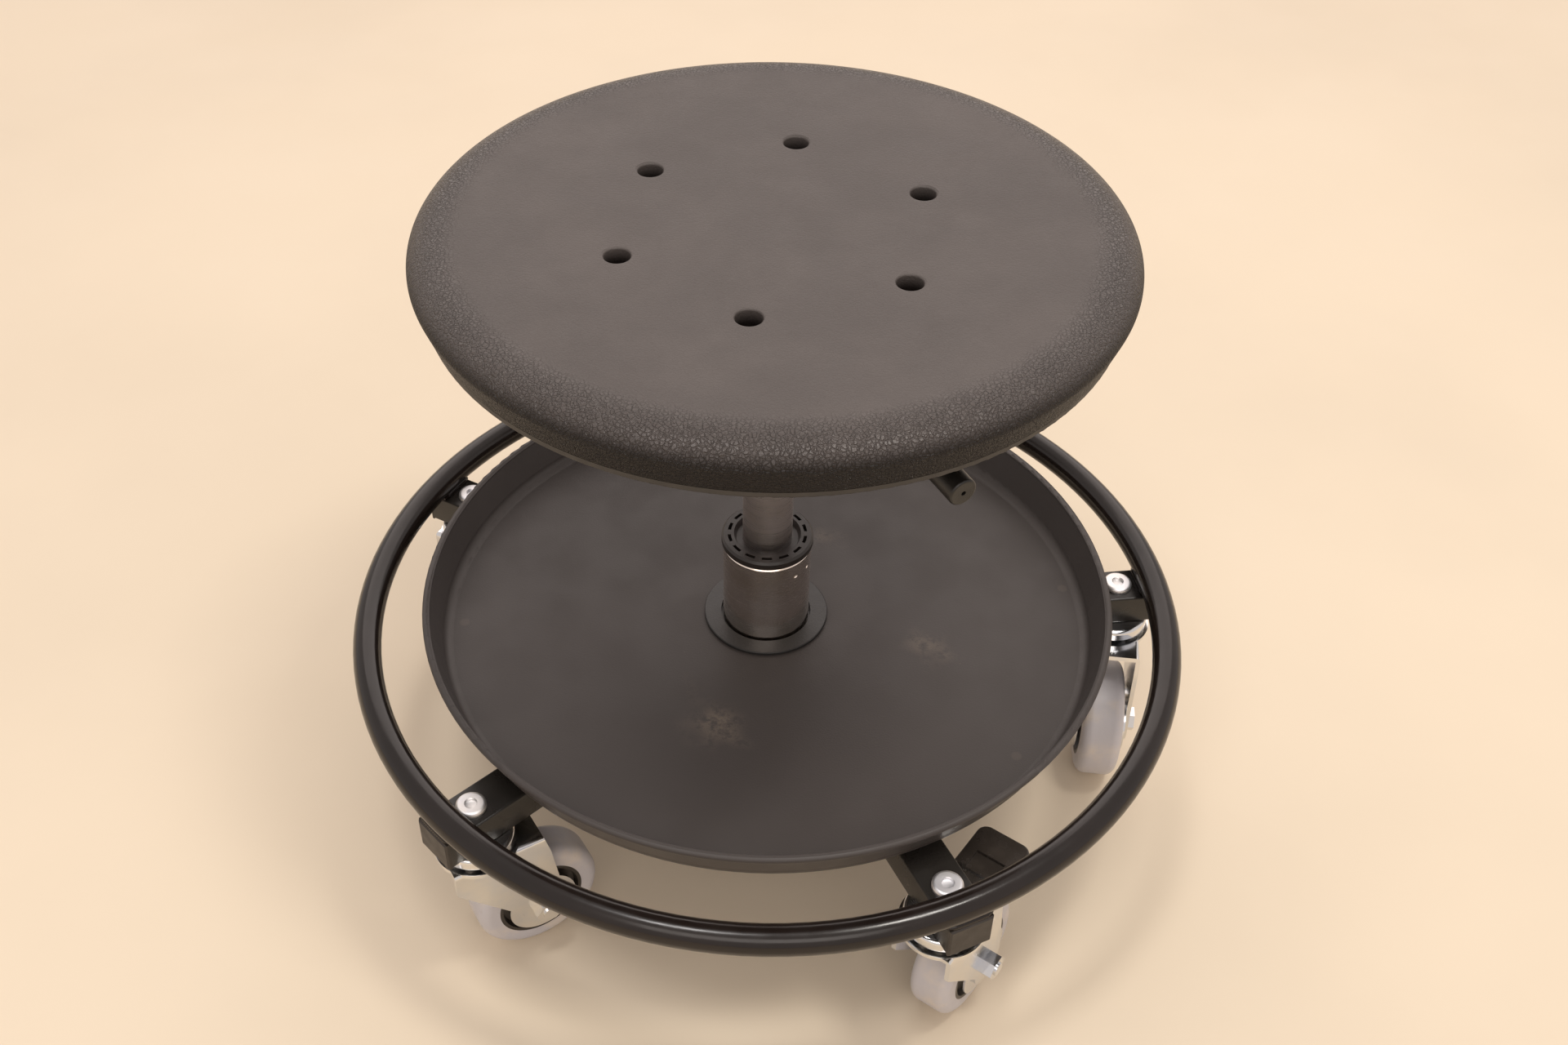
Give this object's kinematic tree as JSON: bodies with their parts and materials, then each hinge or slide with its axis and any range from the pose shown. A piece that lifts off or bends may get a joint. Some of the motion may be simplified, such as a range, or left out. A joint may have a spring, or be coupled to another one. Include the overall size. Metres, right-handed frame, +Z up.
{
  "type": "adjustable swivel stool",
  "caption": "Low round swivel stool with a moulded seat on a gas lift, a height lever, a castor base, a round tool tray and a foot ring.",
  "frame": {"origin": "on the floor, under the column axis", "axes": "+Z up along the column; +X to the right as seen by a viewer who looks along +Y"},
  "size_m": [0.4779, 0.478, 0.3912],
  "materials": {
    "seat_skin": "leather-grained moulded polyurethane, satin",
    "pan_plastic": "matt",
    "mount_black": "semi-gloss black paint",
    "zinc": "bright zinc plate",
    "lever_steel": "semi-gloss black",
    "grip_plastic": "satin",
    "cylinder_steel": "satin",
    "inner_steel": "machined",
    "buffer_rubber": "matt",
    "bush_plastic": "satin",
    "column_steel": "dark polished",
    "frame_black": "semi-gloss powder coat",
    "cap_plastic": "satin",
    "tray_coat": "matt powder coat",
    "ring_black": "matt",
    "tyre_grey": "non-marking grey rubber",
    "core_plastic": "satin"
  },
  "bodies": {
    "base": {"base_hub": "frame_black", "base_arm_1": "frame_black", "base_arm_2": "frame_black", "base_arm_3": "frame_black", "base_arm_4": "frame_black", "base_arm_5": "frame_black", "arm_end_caps": "cap_plastic", "foot_ring": "frame_black", "tool_tray": "tray_coat", "tray_centre_ring": "ring_black", "column_tube": "column_steel", "guide_bush": "bush_plastic", "thrust_race_lower": "inner_steel", "castor_bolts": "zinc", "castor_caps": "zinc", "castor_nuts": "zinc", "castor_balls": "inner_steel"},
    "lift_rod": {"thrust_balls": "inner_steel", "thrust_race_upper": "inner_steel", "piston_rod": "cylinder_steel", "rod_clip": "inner_steel", "rod_buffer": "buffer_rubber", "piston": "inner_steel"},
    "seat": {"gas_cylinder": "cylinder_steel", "rod_guide": "inner_steel", "valve_body": "inner_steel", "seat_mount_plate": "mount_black", "seat_mount_channel": "mount_black", "seat_mount_socket": "mount_black", "seat_screws": "zinc", "seat_inserts": "zinc", "seat_pan": "pan_plastic", "seat_pad": "seat_skin", "lever_pivot_pin": "zinc"},
    "lever": {"lever_arm": "lever_steel", "lever_grip": "grip_plastic"},
    "valve": {"valve_pin": "inner_steel"},
    "castor_1": {"castor_1_fork": "zinc", "castor_1_axle_set": "zinc"},
    "wheel_1": {"castor_1_tyre": "tyre_grey", "castor_1_wheel_core": "core_plastic"},
    "castor_2": {"castor_2_fork": "zinc", "castor_2_axle_set": "zinc"},
    "wheel_2": {"castor_2_tyre": "tyre_grey", "castor_2_wheel_core": "core_plastic"},
    "castor_3": {"castor_3_fork": "zinc", "castor_3_axle_set": "zinc"},
    "wheel_3": {"castor_3_tyre": "tyre_grey", "castor_3_wheel_core": "core_plastic"},
    "castor_4": {"castor_4_fork": "zinc", "castor_4_axle_set": "zinc"},
    "wheel_4": {"castor_4_tyre": "tyre_grey", "castor_4_wheel_core": "core_plastic"},
    "castor_5": {"castor_5_fork": "zinc", "castor_5_axle_set": "zinc", "brake_pin": "zinc"},
    "wheel_5": {"castor_5_tyre": "tyre_grey", "castor_5_wheel_core": "core_plastic"},
    "brake": {"brake_lever": "zinc", "brake_pedal": "grip_plastic"}
  },
  "joints": [
    {"name": "seat_swivel", "type": "hinge", "parent": "base", "child": "lift_rod", "pos_m": [0, 0, 0.03], "axis": [0, 0, 1], "continuous": true},
    {"name": "seat_lift", "type": "slide", "parent": "lift_rod", "child": "seat", "axis": [0, 0, 1], "range_m": [-0.075, 0.02]},
    {"name": "height_lever", "type": "hinge", "parent": "seat", "child": "lever", "pos_m": [0.01827, -0.03102, 0.3405], "axis": [-0.8616, -0.5075, 0], "range_deg": [0, 3.5], "stiffness_Nm_per_rad": 2, "springref_deg": -3.44},
    {"name": "valve_push", "type": "slide", "parent": "seat", "child": "valve", "axis": [0, 0, -1], "range_m": [0, 0.0023]},
    {"name": "castor_1_swivel", "type": "hinge", "parent": "base", "child": "castor_1", "pos_m": [0.21077, 0.03075, 0.093], "axis": [0, 0, 1], "continuous": true},
    {"name": "wheel_1_roll", "type": "hinge", "parent": "castor_1", "child": "wheel_1", "pos_m": [0.20784, 0.0029, 0.036], "axis": [0.9945, -0.1045, 0], "continuous": true},
    {"name": "castor_2_swivel", "type": "hinge", "parent": "base", "child": "castor_2", "pos_m": [0.03589, 0.20996, 0.093], "axis": [0, 0, 1], "continuous": true},
    {"name": "wheel_2_roll", "type": "hinge", "parent": "castor_2", "child": "wheel_2", "pos_m": [0.04989, 0.18571, 0.036], "axis": [0.866, 0.5, 0], "continuous": true},
    {"name": "castor_3_swivel", "type": "hinge", "parent": "base", "child": "castor_3", "pos_m": [-0.18859, 0.09901, 0.093], "axis": [0, 0, 1], "continuous": true},
    {"name": "wheel_3_roll", "type": "hinge", "parent": "castor_3", "child": "wheel_3", "pos_m": [-0.16434, 0.08501, 0.036], "axis": [0.5, 0.866, 0], "continuous": true},
    {"name": "castor_4_swivel", "type": "hinge", "parent": "base", "child": "castor_4", "pos_m": [-0.15244, -0.14876, 0.093], "axis": [0, 0, 1], "continuous": true},
    {"name": "wheel_4_roll", "type": "hinge", "parent": "castor_4", "child": "wheel_4", "pos_m": [-0.1287, -0.13392, 0.036], "axis": [-0.5299, 0.848, 0], "continuous": true},
    {"name": "castor_5_swivel", "type": "hinge", "parent": "base", "child": "castor_5", "pos_m": [0.09437, -0.19095, 0.093], "axis": [0, 0, 1], "continuous": true},
    {"name": "wheel_5_roll", "type": "hinge", "parent": "castor_5", "child": "wheel_5", "pos_m": [0.11043, -0.16801, 0.036], "axis": [-0.8192, 0.5736, 0], "continuous": true},
    {"name": "brake_press", "type": "hinge", "parent": "castor_5", "child": "brake", "pos_m": [0.10527, -0.17539, 0.0835], "axis": [-0.8192, 0.5736, 0], "range_deg": [0, 10]}
  ],
  "couplings": [
    {"joint": "valve_push", "follows": "height_lever", "m_per_rad": 0.036}
  ]
}
